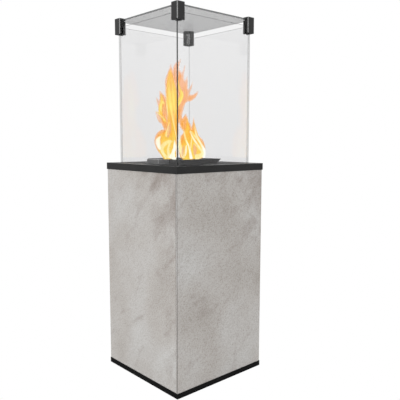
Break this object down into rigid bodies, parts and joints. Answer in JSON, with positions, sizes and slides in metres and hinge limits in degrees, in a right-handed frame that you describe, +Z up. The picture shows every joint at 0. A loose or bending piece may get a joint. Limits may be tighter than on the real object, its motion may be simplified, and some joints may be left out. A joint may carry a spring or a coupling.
{
  "type": "gas patio heater",
  "caption": "Free-standing square gas patio heater: stone-clad cabinet with rear door, recessed controls and gas cylinder, and a flame burner inside a glass column.",
  "frame": {"origin": "centre of the base on the floor, under the rubber feet", "axes": "+Z up along the column; -Y is the front, +Y is the side with the door and the controls; +X to the right seen from the front"},
  "size_m": [0.44, 0.44, 1.386],
  "materials": {
    "plinth_black": "satin powder coat",
    "plate_dark": "fine textured powder coat",
    "tray_steel": "satin heat-proof coat",
    "zinc_steel": "zinc plated",
    "bright_steel": "plain",
    "burner_steel": "heat darkened",
    "slab_concrete": "matt, mottled grey",
    "clear_glass": "clear, polished edges",
    "bracket_black": "black anodised",
    "black_rubber": "matt",
    "brass": "plain",
    "copper": "plain copper tube",
    "cast_alloy": "as cast",
    "white_ceramic": "matt",
    "black_plastic": "moulded",
    "red_plastic": "moulded",
    "lead_red": "silicone sleeve",
    "hose_orange": "matt",
    "tank_grey": "gloss paint",
    "magnet_black": "ferrite in a steel cup"
  },
  "bodies": {
    "heater": {"base_tray": "plinth_black", "top_plate": "plate_dark", "burner_deck": "plate_dark", "control_panel": "plate_dark", "burner_tray": "tray_steel", "pilot_guard": "tray_steel", "post_front_left": "zinc_steel", "post_front_right": "zinc_steel", "post_rear_left": "zinc_steel", "post_rear_right": "zinc_steel", "upper_frame": "zinc_steel", "glass_channel": "zinc_steel", "hose_clips": "zinc_steel", "hinge_bases": "zinc_steel", "slab_pins": "bright_steel", "bracket_screws": "bright_steel", "hinge_pins": "bright_steel", "burner_plate": "burner_steel", "burner_head": "burner_steel", "mixer_tube": "burner_steel", "front_slab": "slab_concrete", "left_slab": "slab_concrete", "right_slab": "slab_concrete", "glass_front": "clear_glass", "glass_left": "clear_glass", "glass_rear": "clear_glass", "glass_right": "clear_glass", "top_glass": "clear_glass", "bracket_front_left": "bracket_black", "bracket_front_right": "bracket_black", "bracket_rear_left": "bracket_black", "bracket_rear_right": "bracket_black", "feet": "black_rubber", "glass_gasket": "black_rubber", "bracket_pads": "black_rubber", "injector": "brass", "pilot_burner": "brass", "thermocouple": "brass", "cylinder_valve": "brass", "main_gas_pipe": "copper", "pilot_gas_pipe": "copper", "thermocouple_lead": "copper", "gas_valve": "cast_alloy", "regulator": "cast_alloy", "spark_electrode": "white_ceramic", "igniter_body": "black_plastic", "ignition_lead": "lead_red", "gas_hose": "hose_orange", "gas_cylinder": "tank_grey", "door_magnets": "magnet_black"},
    "air_shutter": {"air_shutter": "burner_steel"},
    "valve_plug": {"valve_plug": "brass"},
    "control_knob": {"control_knob": "black_plastic", "valve_spindle": "bright_steel"},
    "igniter_button": {"igniter_button": "red_plastic"},
    "valve_handwheel": {"valve_handwheel": "black_plastic"},
    "door": {"door_pan": "zinc_steel", "door_slab": "slab_concrete", "door_hinges": "zinc_steel", "door_pull": "plate_dark"}
  },
  "joints": [
    {"name": "door_hinge", "type": "hinge", "parent": "heater", "child": "door", "pos_m": [0.205, 0.2135, 0.374], "axis": [0, 0, -1], "range_deg": [0, 100]},
    {"name": "valve_turn", "type": "hinge", "parent": "heater", "child": "valve_plug", "pos_m": [0, 0.16, 0.766], "axis": [0, 1, 0], "range_deg": [0, 180]},
    {"name": "knob_push", "type": "slide", "parent": "valve_plug", "child": "control_knob", "axis": [0, -1, 0], "range_m": [0, 0.004], "stiffness_N_per_m": 800, "springref_m": -0.004},
    {"name": "igniter_push", "type": "slide", "parent": "heater", "child": "igniter_button", "axis": [0, -1, 0], "range_m": [0, 0.005], "stiffness_N_per_m": 800, "springref_m": -0.004},
    {"name": "handwheel_turn", "type": "hinge", "parent": "heater", "child": "valve_handwheel", "pos_m": [0, 0, 0.564], "axis": [0, 0, 1], "range_deg": [0, 720]},
    {"name": "shutter_turn", "type": "hinge", "parent": "heater", "child": "air_shutter", "pos_m": [0, 0, 0.716], "axis": [0, 0, 1], "range_deg": [0, 45]}
  ]
}
